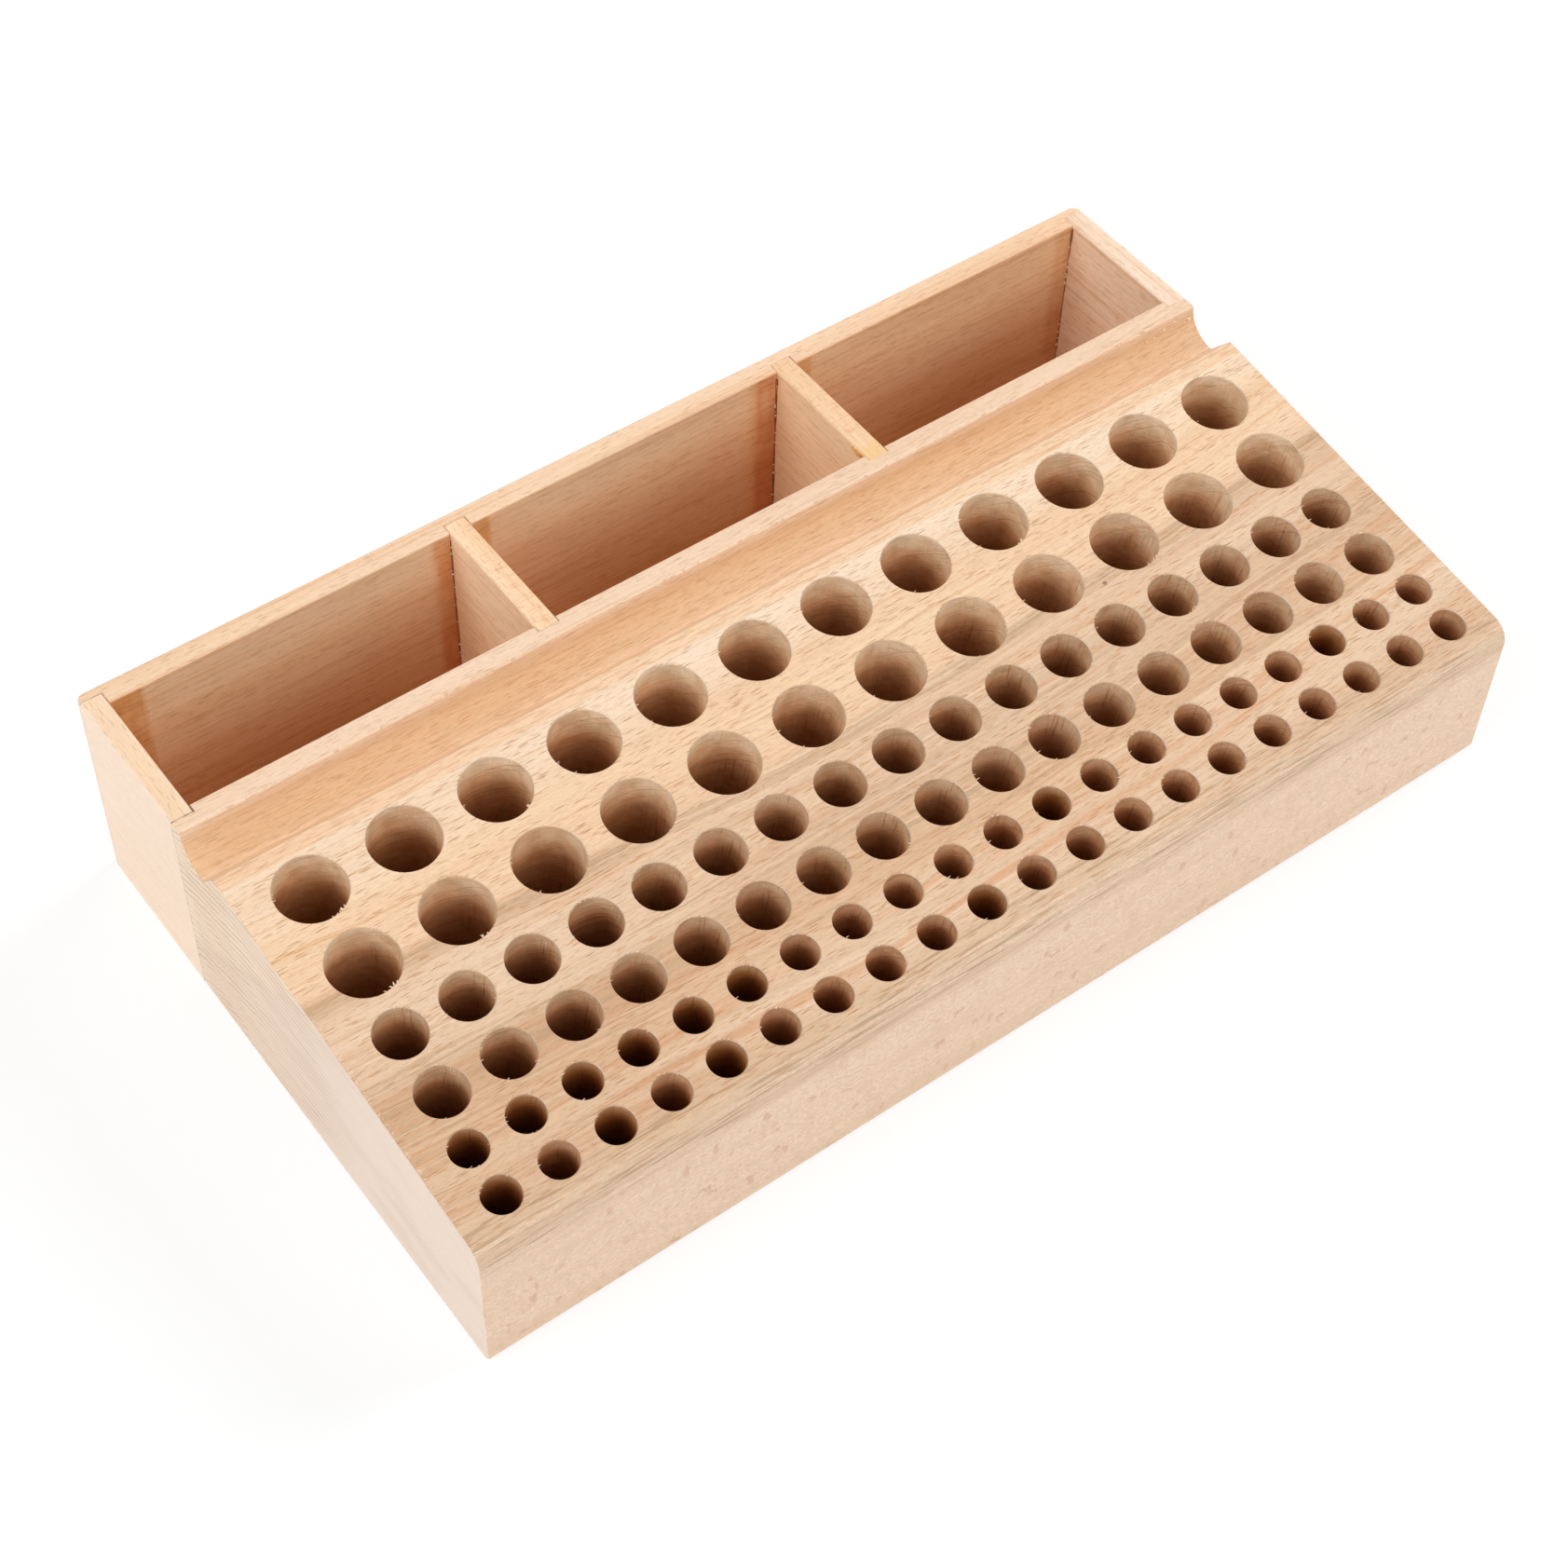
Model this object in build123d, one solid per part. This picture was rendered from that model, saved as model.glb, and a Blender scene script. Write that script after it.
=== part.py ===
from build123d import *
import math
import os

# Wooden tool holder: a sloped block with six rows of blind holes, a trough behind the
# slope, and a tray of three compartments behind the block. All sizes are in millimetres.
# X runs along the length to the right, Y from front to back, Z up.
# The origin is at the middle of the base.

# overall sizes
overall_length = 310.0
overall_height = 63.5
block_depth = 129.7
tray_width = 38.0

# tray boards
back_board_thickness = 6.3
end_wall_thickness = 6.0
divider_thickness = 6.1
floor_thickness = 5.0

# joints between the boards and the block
end_wall_in_board = 3.5
end_wall_in_block = 2.0
divider_in_board = 3.0
divider_in_block = 1.8
floor_ledge = 2.0
joint_clearance = 0.05

# section of the block
crest_drop = 1.5
slope_angle = 8.2
rim_width = 5.8
cove_radius = 8.8
ramp_angle = 50.0

# rounded edges of the block
nose_radius = 6.0
front_foot_radius = 1.6
rim_edge_radius = 0.8
crest_edge_radius = 0.4
trough_corner_radius = 1.0
block_end_radius = 0.5

# rounded edges of the boards
outer_corner_radius = 2.5
board_edge_radius = 0.6

# holes: distance of the first row from the front face, gaps between rows down the slope
first_row_from_front = 95.4
row_gaps = [22.5, 19.5, 17.0, 14.5, 13.0]

# the two rows of each pair share a diameter, a depth, a pitch, a count and a bevel at the mouth
large_hole_diameter = 18.0
large_hole_depth = 38.0
large_hole_pitch = 25.0
large_hole_count = 12
large_hole_bevel = 0.15
medium_hole_diameter = 13.0
medium_hole_depth = 35.0
medium_hole_pitch = 17.5
medium_hole_count = 17
medium_hole_bevel = 0.2
small_hole_diameter = 9.5
small_hole_depth = 32.0
small_hole_pitch = 15.0
small_hole_count = 20
small_hole_bevel = 0.25

# how far a cutter runs past the surface that it opens
overrun = 1.0

# places worked out from the sizes above
overall_depth = block_depth + tray_width + back_board_thickness
front_y = -overall_depth / 2
block_rear_y = front_y + block_depth
board_front_y = block_rear_y + tray_width
board_rear_y = front_y + overall_depth
half_length = overall_length / 2
wall_inner_x = half_length - end_wall_thickness
wall_front_y = block_rear_y - end_wall_in_block
wall_rear_y = board_front_y + end_wall_in_board
divider_front_y = block_rear_y - divider_in_block
divider_rear_y = board_front_y + divider_in_board
divider_x = (2 * wall_inner_x - 2 * divider_thickness) / 6 + divider_thickness / 2
rim_front_y = block_rear_y - rim_width
trough_floor_z = overall_height - cove_radius
cove_y = rim_front_y - cove_radius
slope = math.radians(slope_angle)
ramp = math.radians(ramp_angle)
crest_z = overall_height - crest_drop
crest_y = cove_y - (cove_radius - crest_drop) / math.tan(ramp)
hole_pairs = [
    (large_hole_diameter, large_hole_depth, large_hole_pitch, large_hole_count, large_hole_bevel),
    (medium_hole_diameter, medium_hole_depth, medium_hole_pitch, medium_hole_count, medium_hole_bevel),
    (small_hole_diameter, small_hole_depth, small_hole_pitch, small_hole_count, small_hole_bevel),
]


def box_between(low, high):
    """A box given by its lowest and highest corners."""
    size = [b - a for a, b in zip(low, high)]
    middle = [(a + b) / 2 for a, b in zip(low, high)]
    return Pos(*middle) * Box(*size)


def slope_height(y):
    """Height of the sloping face above the base, at a distance along Y."""
    return crest_z + (y - crest_y) * math.tan(slope)


def corner_near(face, y, z):
    """The corner of a section that lies nearest to a point, with Y across and Z up on the sketch."""
    return min(face.vertices(), key=lambda v: math.hypot(v.X - y, v.Y - z))


def trough_section():
    """Section of what the trough's cutter removes: a quarter-round cove behind, a straight ramp in front."""
    top_z = overall_height + overrun
    ramp_top_y = cove_y - (top_z - trough_floor_z) / math.tan(ramp)
    straight = Polyline(
        (rim_front_y, overall_height),
        (rim_front_y, top_z),
        (ramp_top_y, top_z),
        (cove_y, trough_floor_z),
    )
    cove = CenterArc((cove_y, overall_height), cove_radius, -90, 90)
    return make_face(straight + cove)


def block_section():
    """Section of the block: foot, front face, nose, slope, trough and rim."""
    front_height = slope_height(front_y)
    stock = make_face(Polyline(
        (front_y, 0),
        (front_y, front_height),
        (cove_y, slope_height(cove_y)),
        (cove_y, overall_height),
        (block_rear_y, overall_height),
        (block_rear_y, 0),
        close=True,
    ))
    section = stock - trough_section()
    rounded = [
        (front_y, 0, front_foot_radius),
        (front_y, front_height, nose_radius),
        (crest_y, crest_z, crest_edge_radius),
        (cove_y, trough_floor_z, trough_corner_radius),
        (rim_front_y, overall_height, rim_edge_radius),
    ]
    for y, z, radius in rounded:
        section = fillet(corner_near(section, y, z), radius)
    return section


def row_distances():
    """Distance of each row from the first one, down the slope."""
    distances = [0.0]
    for gap in row_gaps:
        distances.append(distances[-1] + gap)
    return distances


def hole_cutter(radius, depth, bevel):
    """A cylinder for one blind hole and a cone for the bevel at its mouth, with the mouth at height zero."""
    bore = Pos(0, 0, (overrun - depth) / 2) * Cylinder(radius, depth + overrun)
    mouth = Pos(0, 0, (overrun - bevel) / 2) * Cone(radius, radius + bevel + overrun, bevel + overrun)
    return [bore, mouth]


def hole_cutters():
    """The cutters of all the blind holes, square to the slope."""
    first_y = front_y + first_row_from_front
    slope_plane = Plane(
        origin=(0, first_y, slope_height(first_y)),
        x_dir=(1, 0, 0),
        z_dir=(0, -math.sin(slope), math.cos(slope)),
    )
    cutters = []
    for row, distance in enumerate(row_distances()):
        diameter, depth, pitch, count, bevel = hole_pairs[row // 2]
        first_x = -(count - 1) * pitch / 2
        for i in range(count):
            place = slope_plane * Pos(first_x + i * pitch, -distance, 0)
            cutters += [place * cutter for cutter in hole_cutter(diameter / 2, depth, bevel)]
    return cutters


def divider_box(x, clearance):
    """Space of a divider, grown sideways by a clearance."""
    half = divider_thickness / 2 + clearance
    low = (x - half, divider_front_y, floor_thickness)
    high = (x + half, divider_rear_y, overall_height)
    return box_between(low, high)


def end_wall_box(side, clearance):
    """Space of an end wall, grown inward by a clearance. side is -1 on the left and 1 on the right."""
    inner = side * (wall_inner_x - clearance)
    outer = side * half_length
    low = (min(inner, outer), wall_front_y, 0)
    high = (max(inner, outer), wall_rear_y, overall_height)
    return box_between(low, high)


def floor_box(clearance):
    """Space of the floor board, grown by a clearance at its edges."""
    reach_x = wall_inner_x + floor_ledge + clearance
    low = (-reach_x, block_rear_y - floor_ledge - clearance, 0)
    high = (reach_x, board_front_y + floor_ledge + clearance, floor_thickness)
    return box_between(low, high)


def tool_block():
    """The drilled block, with rebates for the end walls and the floor and housings for the dividers."""
    block = extrude(Plane.YZ * block_section(), amount=half_length, both=True)
    ends = block.edges().filter_by(Plane.YZ).group_by(Axis.X)
    outer_ends = [e for group in (ends[0], ends[-1]) for e in group if e.center().Y < block_rear_y - rim_width]
    block = fillet(outer_ends, block_end_radius)
    block -= hole_cutters()
    for side in (-1, 1):
        block -= end_wall_box(side, joint_clearance)
        block -= divider_box(side * divider_x, joint_clearance)
    return block - floor_box(joint_clearance)


def back_board():
    """The rear board of the tray, with rebates at its ends and below, and housings for the dividers."""
    board = box_between((-half_length, board_front_y, 0), (half_length, board_rear_y, overall_height))
    rear_corners = board.edges().filter_by(Axis.Z).group_by(Axis.Y)[-1]
    board = fillet(rear_corners, outer_corner_radius)
    board = fillet(board.faces().sort_by(Axis.Z)[-1].outer_wire().edges(), board_edge_radius)
    for side in (-1, 1):
        board -= end_wall_box(side, joint_clearance)
        board -= divider_box(side * divider_x, joint_clearance)
    return board - floor_box(joint_clearance)


def end_wall(side):
    """An end wall of the tray, rebated below for the floor. side is -1 on the left and 1 on the right."""
    wall = end_wall_box(side, 0)
    long_edges = wall.edges().filter_by(Axis.Y).group_by(Axis.Z)[-1]
    wall = fillet(long_edges, board_edge_radius)
    return wall - floor_box(joint_clearance)


def divider(side):
    """A divider between two compartments, standing on the floor."""
    board = divider_box(side * divider_x, 0)
    top_edges = board.edges().filter_by(Axis.Y).group_by(Axis.Z)[-1]
    return fillet(top_edges, board_edge_radius)


def tray_floor():
    """The board under the three compartments, let into ledges all round."""
    return floor_box(0)


pieces = {
    "tool_block": tool_block(),
    "back_board": back_board(),
    "left_end_wall": end_wall(-1),
    "right_end_wall": end_wall(1),
    "left_divider": divider(-1),
    "right_divider": divider(1),
    "tray_floor": tray_floor(),
}

os.makedirs("parts", exist_ok=True)
for name, piece in pieces.items():
    export_step(piece, f"parts/{name}.step")
    print(name, round(piece.volume), "cubic millimetres")
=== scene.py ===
import math
import random

import bpy
from mathutils import Matrix, Vector


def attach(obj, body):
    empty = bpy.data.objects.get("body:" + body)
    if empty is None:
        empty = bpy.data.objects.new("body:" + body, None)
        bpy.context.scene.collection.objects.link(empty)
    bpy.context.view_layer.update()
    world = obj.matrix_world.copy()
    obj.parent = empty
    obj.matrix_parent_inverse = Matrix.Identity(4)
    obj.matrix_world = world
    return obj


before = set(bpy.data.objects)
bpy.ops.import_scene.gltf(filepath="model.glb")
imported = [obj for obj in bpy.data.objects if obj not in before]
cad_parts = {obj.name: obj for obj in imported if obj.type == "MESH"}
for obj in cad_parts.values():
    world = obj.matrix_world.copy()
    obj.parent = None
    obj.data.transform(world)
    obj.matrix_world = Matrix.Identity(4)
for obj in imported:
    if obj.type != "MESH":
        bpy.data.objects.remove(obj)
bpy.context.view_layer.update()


# Tool block. One length of beech, planed to its section with a sloping top and a trough, then
# drilled with six rows of blind holes and sanded. Its heartwood is browner than the sapwood
# behind it, and the edge between them runs the whole length of the slope.

mm = 0.001


def seen(red, green, blue):
    """A tone as it reads on a screen, 0 to 255, in the linear values that a finish takes."""
    parts = [c / 255 for c in (red, green, blue)]
    return tuple(c / 12.92 if c <= 0.04045 else ((c + 0.055) / 1.055) ** 2.4 for c in parts) + (1.0,)


class Finish:
    """One wood finish, laid on step by step. Places and sizes are in mm, masks go from 0 to 1."""

    def __init__(self, name):
        self.material = bpy.data.materials.new(name)
        self.material.use_nodes = True
        self.tree = self.material.node_tree
        self.skin = self.tree.nodes["Principled BSDF"]
        here = self.add("TexCoord").outputs["Object"]
        self.place = self.add("VectorMath", {0: here, "Scale": 1 / mm}, operation="SCALE").outputs[0]
        self.x, self.y, self.z = self.add("SeparateXYZ", {0: self.place}).outputs
        normal = self.add("NewGeometry").outputs["Normal"]
        self.facing = dict(zip("xyz", self.add("SeparateXYZ", {0: normal}).outputs))

    def add(self, kind, feeds=None, **settings):
        """A node with its settings, fed with sockets or plain values."""
        node = self.tree.nodes.new("ShaderNode" + kind)
        for key, value in settings.items():
            setattr(node, key, value)
        for key, value in (feeds or {}).items():
            if isinstance(value, bpy.types.NodeSocket):
                self.tree.links.new(value, node.inputs[key])
            else:
                node.inputs[key].default_value = value
        return node

    def work(self, operation, *values):
        """One step of arithmetic on numbers."""
        return self.add("Math", dict(enumerate(values)), operation=operation).outputs[0]

    def vector(self, operation, *values):
        """One step of arithmetic on vectors."""
        result = "Value" if operation in ("DOT_PRODUCT", "LENGTH") else "Vector"
        return self.add("VectorMath", dict(enumerate(values)), operation=operation).outputs[result]

    def mixture(self, *terms, plus=None):
        """The sum of (weight, value) terms and of a plain number."""
        total = self.work("MULTIPLY", *terms[0])
        for weight, value in terms[1:]:
            total = self.work("MULTIPLY_ADD", value, weight, total)
        return total if plus is None else self.work("MULTIPLY_ADD", plus, 1.0, total)

    def product(self, first, *others):
        """All the values times each other."""
        for value in others:
            first = self.work("MULTIPLY", first, value)
        return first

    def without(self, mask):
        """The mask turned round: 1 where it is 0."""
        return self.work("SUBTRACT", 1.0, mask)

    def fade(self, value, low, high):
        """0 at low and 1 at high, softly between."""
        feeds = {"Value": value, "From Min": low, "From Max": high}
        return self.add("MapRange", feeds, interpolation_type="SMOOTHSTEP").outputs[0]

    def belt(self, value, low, full_from, full_to, high):
        """1 from full_from to full_to, softly down to 0 at low and at high."""
        return self.product(self.fade(value, low, full_from), self.fade(value, high, full_to))

    def apart(self, value, middle):
        """How far the value is from the middle."""
        return self.work("ABSOLUTE", self.work("SUBTRACT", value, middle))

    def grid(self, size, seed, at):
        """The place counted in patches of that size along X, Y and Z, moved on by the seed."""
        return self.vector("MULTIPLY_ADD", at or self.place, [1 / s for s in size], (seed, seed, seed))

    def noise(self, size, detail, seed, at=None, roughness=0.5):
        """Soft random variation in patches of that size along X, Y and Z, with finer ones as detail grows."""
        feeds = {"Vector": self.grid(size, seed, at), "Scale": 1.0, "Detail": detail, "Roughness": roughness}
        return self.add("TexNoise", feeds)

    def dapple(self, *noise, **more):
        """The variation as one number."""
        return self.noise(*noise, **more).outputs[0]

    def patches(self, low, high, *noise, **more):
        """The variation as patches: 0 where it is low or less, 1 where it is high or more."""
        return self.fade(self.dapple(*noise, **more), low, high)

    def rays(self, size, reach, seed, at=None):
        """The rays of beech, as thin plates: 1 inside one. size is their spacing, reach their share of it."""
        feeds = {"Vector": self.grid(size, seed, at), "Scale": 1.0, "Randomness": 1.0}
        return self.fade(self.add("TexVoronoi", feeds).outputs["Distance"], reach, reach * 0.6)

    def bands(self, value, tones):
        """Colours that follow each other as the value grows: (value, tone) pairs."""
        low, high = tones[0][0], tones[-1][0]
        share = self.add("MapRange", {"Value": value, "From Min": low, "From Max": high}).outputs[0]
        ramp = self.add("ValToRGB", {0: share})
        stops = ramp.color_ramp.elements
        for _ in tones[2:]:
            stops.new(0.5)
        # The stops change places as they move, so the tones wait until all of them stand.
        for stop, (at, _) in zip(stops, tones):
            stop.position = (at - low) / (high - low)
        for stop, (_, tone) in zip(stops, tones):
            stop.color = seen(*tone)
        return ramp.outputs[0]

    def lay(self, under, over, *shares, how="MIX"):
        """One colour on another, as far as the product of the shares. Each colour is a socket or a tone."""
        under, over = (seen(*c) if isinstance(c, tuple) else c for c in (under, over))
        feeds = {0: self.product(*shares), 6: under, 7: over}
        return self.add("Mix", feeds, data_type="RGBA", blend_type=how).outputs[2]

    def tint(self, under, over, *shares):
        """The same, but the colour over multiplies the one under it, as a stain does."""
        return self.lay(under, over, *shares, how="MULTIPLY")

    def shade(self, under, *terms, plus):
        """The colour under, times the mixture of the terms."""
        amount = self.mixture(*terms, plus=plus)
        return self.tint(under, self.add("CombineColor", {0: amount, 1: amount, 2: amount}).outputs[0], 1.0)

    def finish(self, colour, height, depth, roughness):
        """The material with this colour, relief of that depth and roughness."""
        bump = self.add("Bump", {"Height": height, "Distance": depth * mm, "Strength": 1.0}).outputs[0]
        for name, value in (("Base Color", colour), ("Normal", bump), ("Roughness", roughness)):
            self.tree.links.new(value, self.skin.inputs[name])
        self.skin.inputs["Specular IOR Level"].default_value = 0.25
        return self.material


half_length, front_y, top_z = 155.0, -87.0, 63.5
slope_angle = math.radians(8.2)
crest_y, cove_y, rim_front_y = 17.7, 28.0, 36.9
nose_z = 41.0
wall_inner_x, wall_front_y = 149.0, 40.7
divider_x, divider_half, divider_front_y = 50.7, 3.05, 40.9

# rows from the trough down to the front: bore, pitch and count of each, and the gaps between them
hole_rows = [(18.0, 25.0, 12)] * 2 + [(13.0, 17.5, 17)] * 2 + [(9.5, 15.0, 20)] * 2
row_gaps = (22.5, 19.5, 17.0, 14.5, 13.0)
row_down = [sum(row_gaps[:i]) for i in range(6)]
first_row_y, first_row_z = 8.4, 60.044
drilled_from, drilled_to, drilled_depth = -11.0, 93.5, 40.5
# holes that came out browner, in rows and holes counted from 1
scorched_holes = {5: (1, 2, 3, 4, 5, 6, 12, 18), 6: (1, 3, 5, 10)}

# where a point lies: down the slope from the first row, and into the wood square to the slope
wood = Finish("block_beech")
up_slope = (0.0, math.cos(slope_angle), math.sin(slope_angle))
out_of_slope = (0.0, -math.sin(slope_angle), math.cos(slope_angle))
from_row = wood.vector("SUBTRACT", wood.place, (0.0, first_row_y, first_row_z))
down = wood.vector("DOT_PRODUCT", from_row, [-c for c in up_slope])
depth = wood.vector("DOT_PRODUCT", from_row, [-c for c in out_of_slope])

# which face it is on
across_x = wood.work("ABSOLUTE", wood.x)
end_on = wood.fade(across_x, half_length - 0.7, half_length - 0.3)
in_hole = wood.product(
    wood.belt(depth, 0.2, 0.5, drilled_depth - 0.5, drilled_depth + 0.5),
    wood.belt(down, drilled_from - 0.5, drilled_from + 0.5, drilled_to - 0.5, drilled_to + 0.5),
    wood.without(end_on))
face_on = wood.without(in_hole)
in_trough = wood.belt(wood.y, crest_y, crest_y + 0.6, rim_front_y - 0.5, rim_front_y + 0.3)
side_on = wood.product(wood.fade(wood.work("ABSOLUTE", wood.facing["x"]), 0.5, 0.95), face_on)
front_on = wood.product(
    wood.fade(wood.facing["y"], -0.35, -0.9), wood.fade(wood.y, front_y + 11, front_y + 7), face_on)
upward = wood.fade(wood.facing["z"], 0.3, 0.6)
behind_slope = wood.fade(wood.y, crest_y - 1.0, crest_y + 1.0)

# growth layers: leaf counts across them, and in a sheet they lie flat
layer_lean, layer_bow, layer_dip, layer_wander = 0.0194, 0.00025, 1.1, 8.0
leaf = wood.mixture(
    (1.0, down), (layer_lean, wood.x), (layer_bow, wood.work("MULTIPLY", wood.x, wood.x)), (layer_dip, depth),
    (layer_wander, wood.dapple((80, 16, 16), 2, 3.0)))
leaf = wood.work("SUBTRACT", leaf, layer_wander / 2)
sheet = wood.add("CombineXYZ", {0: wood.x, 1: leaf, 2: wood.z}).outputs[0]
heart_edge = 31.0
in_heart = wood.fade(leaf, heart_edge - 2.0, heart_edge + 1.0)

colour = wood.bands(leaf, (
    (-22, (243, 213, 184)), (-6, (244, 219, 191)), (4, (243, 216, 186)), (11, (239, 206, 169)),
    (26, (239, 206, 172)), (31, (228, 197, 166)), (44, (230, 200, 170)), (54, (221, 190, 158)),
    (62, (219, 185, 152)), (72, (227, 195, 162)), (84, (230, 201, 171)), (92, (226, 195, 164))))
drift = wood.patches(0.30, 0.70, (150, 9, 40), 2, 7.0, at=sheet)
colour = wood.tint(colour, wood.lay((248, 241, 236), (256, 256, 258), drift), 0.9)
thread = wood.dapple((120, 1.0, 9), 3, 17.0, at=sheet, roughness=0.65)
colour = wood.tint(colour, (249, 242, 234), wood.fade(thread, 0.50, 0.66))
colour = wood.tint(colour, (242, 226, 208), wood.fade(thread, 0.60, 0.74), 0.6)
colour = wood.lay(colour, (246, 219, 188), wood.fade(thread, 0.46, 0.30), 0.35)

smoke = wood.patches(0.50, 0.64, (150, 2.6, 24), 3, 11.0, at=sheet, roughness=0.65)
smoke_belt = wood.belt(leaf, 44.0, 54.0, 64.0, 80.0)
colour = wood.lay(colour, (200, 167, 135), smoke, in_heart, wood.mixture((0.5, smoke_belt), plus=0.42))
rose = wood.patches(0.50, 0.72, (110, 2.6, 20), 3, 23.0, at=sheet, roughness=0.6)
red_belt = wood.product(
    wood.belt(leaf, 58.0, 66.0, 82.0, 92.0), wood.patches(0.36, 0.54, (70, 12, 40), 2, 24.0))
rose_strength = wood.mixture((0.40, in_heart), (0.42, red_belt), plus=0.08)
colour = wood.lay(colour, (216, 163, 124), rose, rose_strength)
edge_line = wood.product(
    wood.belt(leaf, heart_edge - 3.5, heart_edge, heart_edge, heart_edge + 3.5),
    wood.patches(0.34, 0.60, (70, 1.0, 20), 3, 31.0, at=sheet, roughness=0.6))
colour = wood.lay(colour, (186, 152, 117), edge_line, 0.8)
hair_lines = wood.patches(0.64, 0.74, (60, 0.45, 5), 2, 37.0, at=sheet)
colour = wood.lay(colour, (184, 142, 104), hair_lines, wood.mixture((0.45, in_heart), plus=0.32))
colour = wood.lay(colour, (238, 194, 150), in_trough, 0.5)
# painted shade: the cove under the front edge of the rim is tinted a little darker
shaded_cove = wood.product(
    in_trough, wood.fade(wood.y, cove_y, cove_y + 3.0), wood.fade(wood.z, top_z - 0.3, top_z - 3.5))
colour = wood.tint(colour, (243, 236, 226), shaded_cove)
dull_end = wood.product(wood.fade(wood.x, -40.0, -110.0), wood.belt(leaf, 50.0, 60.0, 86.0, 94.0))
colour = wood.tint(colour, (243, 237, 231), dull_end)

# front face and nose
front_mottle = wood.patches(0.38, 0.62, (1.0, 9, 0.5), 4, 43.0, roughness=0.65)
front_colour = wood.lay((242, 216, 191), (226, 198, 171), front_mottle)
front_colour = wood.shade(front_colour, (0.0001, wood.x), plus=1.0)
front_band = wood.patches(0.44, 0.70, (90, 9, 3.5), 3, 44.0)
front_colour = wood.lay(front_colour, (229, 199, 170), front_band, 0.6)
colour = wood.lay(colour, front_colour, front_on, 0.92)
nose = wood.product(
    wood.fade(wood.z, nose_z - 6.0, nose_z + 0.5), wood.fade(wood.y, front_y + 10, front_y + 4),
    wood.without(side_on),
    wood.patches(0.30, 0.60, (70, 2.0, 2.0), 3, 47.0, roughness=0.6))
colour = wood.lay(colour, (206, 175, 144), nose, wood.mixture((-0.0006, wood.x), plus=0.60))
nose_lines = wood.product(
    wood.fade(wood.z, nose_z - 5.0, nose_z - 1.0), wood.fade(wood.y, front_y + 8, front_y + 5),
    wood.patches(0.53, 0.64, (16, 0.8, 0.55), 2, 48.0))
colour = wood.lay(colour, (168, 132, 98), nose_lines, 0.6)

# end grain, with rings round a pith that lay below the block
pith_y, pith_z, ring_width = -19.0, -99.0, 2.3
from_pith = wood.vector("SUBTRACT", wood.place, (0.0, pith_y, pith_z))
ring = wood.vector("LENGTH", wood.vector("MULTIPLY", from_pith, (0.0, 1.0, 1.0)))
ring = wood.mixture((1.0, ring), (7.0, wood.dapple((140, 30, 22), 3, 51.0)))
ring_line = wood.fade(wood.work("SINE", wood.work("MULTIPLY", ring, math.tau / ring_width)), 0.1, 0.95)
end_colour = wood.lay((241, 223, 208), (238, 216, 195), wood.fade(wood.y, -40.0, 10.0))
end_colour = wood.lay(end_colour, (243, 221, 196), wood.fade(leaf, heart_edge - 1.0, heart_edge - 7.0))
end_colour = wood.lay(end_colour, (231, 208, 189), wood.patches(0.42, 0.72, (9, 30, 7), 3, 52.0), 0.6)
colour = wood.lay(colour, end_colour, side_on, 0.95)
ring_belt = wood.product(
    side_on, wood.fade(wood.y, -45.0, -5.0), wood.patches(0.32, 0.62, (60, 22, 6), 2, 53.0))
colour = wood.lay(colour, (202, 178, 157), ring_line, wood.mixture((0.62, ring_belt), (0.13, side_on)))
end_heart_edge = wood.product(
    side_on, wood.belt(leaf, heart_edge - 6.0, heart_edge, heart_edge, heart_edge + 3.0),
    wood.patches(0.38, 0.62, (9, 5, 5), 3, 54.0))
colour = wood.lay(colour, (208, 182, 157), end_heart_edge, 0.22)

# fibres, rays, flecks and pores
colour = wood.lay(colour, (249, 228, 199), in_hole, 0.86)
fibres = wood.dapple((22, 0.38, 0.38), 3, 41.0, roughness=0.6)
colour = wood.shade(colour, (0.20, fibres), plus=0.90)
plates = wood.rays((6.6, 0.54, 14), 0.32, 5.0)
short_plates = wood.rays((3.6, 0.42, 8), 0.29, 9.0)
clusters = wood.patches(0.36, 0.52, (20, 2.2, 20), 2, 6.0)
ray_mark = wood.mixture((0.9, wood.product(plates, clusters)), (0.4, short_plates))
ray_strength = wood.mixture(
    (0.66, upward), (-0.40, behind_slope), (-0.70, side_on), (-0.70, in_hole), plus=0.16)
colour = wood.lay(colour, wood.lay((192, 138, 94), (212, 166, 130), front_on), ray_mark, ray_strength)
ragged = wood.noise((2.2, 9, 2.2), 2, 64.0).outputs["Color"]
ragged = wood.vector("MULTIPLY_ADD", ragged, (2.4, 2.4, 5.0), wood.place)
low_front = wood.product(front_on, wood.fade(wood.z, nose_z, nose_z - 7.0))
for tone, strength, spacing, reach, seed, gathered in (
        ((212, 168, 136), 0.58, (5.0, 40, 9.5), 0.24, 63.0, (0.36, 0.58, (26, 40, 14), 2, 65.0)),
        ((208, 168, 136), 0.55, (10.5, 40, 4.2), 0.22, 68.0, (0.38, 0.58, (20, 40, 9), 2, 69.0))):
    flecks = wood.product(wood.rays(spacing, reach, seed, at=ragged), wood.patches(*gathered), low_front)
    colour = wood.lay(colour, tone, flecks, strength)
trough_dashes = wood.product(
    wood.patches(0.54, 0.64, (7, 0.42, 0.42), 2, 81.0), behind_slope,
    wood.fade(wood.y, rim_front_y + 0.3, rim_front_y - 0.1), face_on)
colour = wood.lay(colour, (206, 148, 104), trough_dashes, 0.45)
chipped = wood.product(
    wood.belt(wood.y, rim_front_y - 0.15, rim_front_y + 0.05, rim_front_y + 0.35, rim_front_y + 0.65),
    upward, wood.patches(0.56, 0.64, (2.6, 9, 9), 2, 76.0))
colour = wood.lay(colour, (190, 140, 98), chipped, 0.4)
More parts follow.
